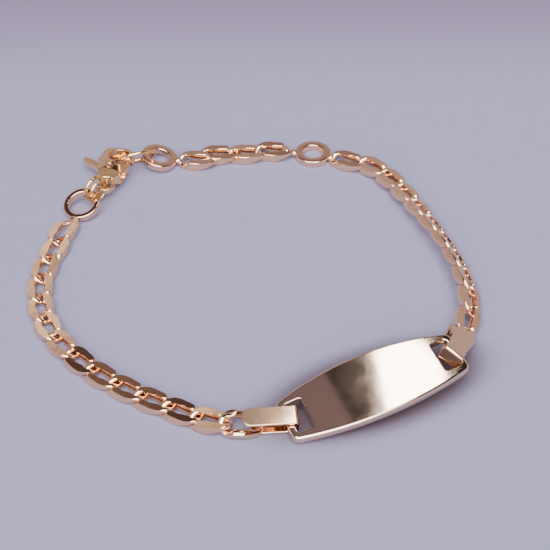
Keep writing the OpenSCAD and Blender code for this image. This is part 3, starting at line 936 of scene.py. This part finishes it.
floor_data = bpy.data.meshes.new("floor")
bm = bmesh.new()
bmesh.ops.create_grid(bm, x_segments=1, y_segments=1, size=1.5)
bm.to_mesh(floor_data)
bm.free()
floor = bpy.data.objects.new("floor", floor_data)
bpy.context.collection.objects.link(floor)

pale = Shader(bpy.data.materials.new("pale_floor"))
ground = pale.add("ShaderNodeTexCoord", output=OBJECT_PLACE)
back = pale.fade(pale.add("ShaderNodeSeparateXYZ", output=1, Vector=ground), BACK_FROM, BACK_TO)
around = pale.add("ShaderNodeMapping", {"vector_type": "TEXTURE"}, Vector=ground,
                  Location=UNDER_AT, Rotation=(0, 0, math.radians(UNDER_TURN)), Scale=UNDER_SIZE)
reach = pale.add("ShaderNodeVectorMath", {"operation": "LENGTH"}, output=1, Vector=around)
outside = pale.fade(reach, UNDER_FROM, UNDER_TO)
tone = pale.mix(outside, GROUND_UNDER, pale.mix(back, GROUND_NEAR, GROUND_BACK))
pale.set(Base_Color=tone, Roughness=0.7)
floor_data.materials.append(pale.owner)
print("ground, mm across:", round(floor.dimensions.x / MM))

# %% [markdown]
# What the gold mirrors matters more than what falls on it. The world is a room whose
# walls are light and rosy near the floor and get dark towards the ceiling, because
# the flats of the near links and the dark band of the plate mirror a dark height.

# %% The room
WALLS = ((0.0, (0.62, 0.52, 0.56)), (0.57, (0.50, 0.42, 0.44)), (0.61, (0.38, 0.31, 0.34)),
         (0.65, (0.26, 0.20, 0.21)), (0.69, (0.10, 0.07, 0.075)), (0.80, (0.06, 0.045, 0.05)),
         (0.92, (0.035, 0.028, 0.032)), (1.0, (0.05, 0.04, 0.045)))


def colour_stops(ramp_colours, stops):
    """Gives a colour ramp new stops."""
    ramp_colours.elements.remove(ramp_colours.elements[0])
    ramp_colours.elements[0].position = stops[-1][0]
    ramp_colours.elements[0].color = (*stops[-1][1], 1)
    for place, colour in stops[:-1]:
        ramp_colours.elements.new(place).color = (*colour, 1)


world = bpy.data.worlds.new("studio")
bpy.context.scene.world = world
room = Shader(world)
way = room.add("ShaderNodeTexCoord")
walls = room.add("ShaderNodeValToRGB")
colour_stops(walls.socket.node.color_ramp, WALLS)
room.put(walls.socket.node.inputs[0], room.add("ShaderNodeSeparateXYZ", output=2, Vector=way))
room.put(room.tree.nodes["Background"].inputs["Color"], walls)
print("stops in the walls:", len(WALLS))

# %% [markdown]
# Each light is a softbox placed by what should mirror it. From the camera and a
# surface's slope follows the direction it mirrors, as an azimuth from straight ahead
# and an elevation, and a softbox fills a range of both. The window ends the plate's
# dark band with white, the strap card lights the left connector, the front window
# draws the bright lines on rims and rails, the left card turns the left chain's
# flats to cream, the neck card opens up the clasp's neck, and the dim card gives the
# plate's left end its brown.

# %% Softboxes
def softbox(name, azimuth, elevation, brightness, colour=(1, 1, 1), distance=4.0,
            seen_from=LOOK_AT):
    """A rectangular light that fills a range of azimuth and elevation, in degrees."""
    mid_az, mid_el = (math.radians(sum(pair) / 2) for pair in (azimuth, elevation))
    way = Vector((math.sin(mid_az) * math.cos(mid_el), math.cos(mid_az) * math.cos(mid_el),
                  math.sin(mid_el)))
    data = bpy.data.lights.new(name, "AREA")
    data.shape = "RECTANGLE"
    half_w = math.radians(abs(azimuth[1] - azimuth[0]) / 2) * math.cos(mid_el)
    half_h = math.radians(abs(elevation[1] - elevation[0]) / 2)
    data.size = 2 * distance * math.tan(half_w)
    data.size_y = 2 * distance * math.tan(half_h)
    data.energy = brightness * math.pi * data.size * data.size_y
    data.color = colour
    light = bpy.data.objects.new(name, data)
    light.location = seen_from + way * distance
    light.rotation_euler = (-way).to_track_quat("-Z", "Y").to_euler()
    bpy.context.collection.objects.link(light)
    return light


WARM, CREAM = (1.0, 0.90, 0.86), (1.0, 0.89, 0.76)
softbox("window", (6.2, 26.5), (61.0, 76), 15.0, (1.0, 0.98, 0.96), 0.25,
        PLATE_PLACE.translation * MM)
softbox("strap_card", (-6, 10.5), (62.5, 66.4), 0.42, WARM, 1.5, Vector((1.3, -24, 3)) * MM)
softbox("front_window", (137, 240), (25, 82), 9.0, (1.0, 0.97, 0.95))
softbox("left_card", (-22, -9.6), (37, 42.6), 1.35, CREAM)
softbox("neck_card", (-112, -64), (63, 79), 0.28, (1.0, 0.88, 0.76))
softbox("dim_card", (-50, -6), (69, 78), 0.17, (1.0, 0.80, 0.92))
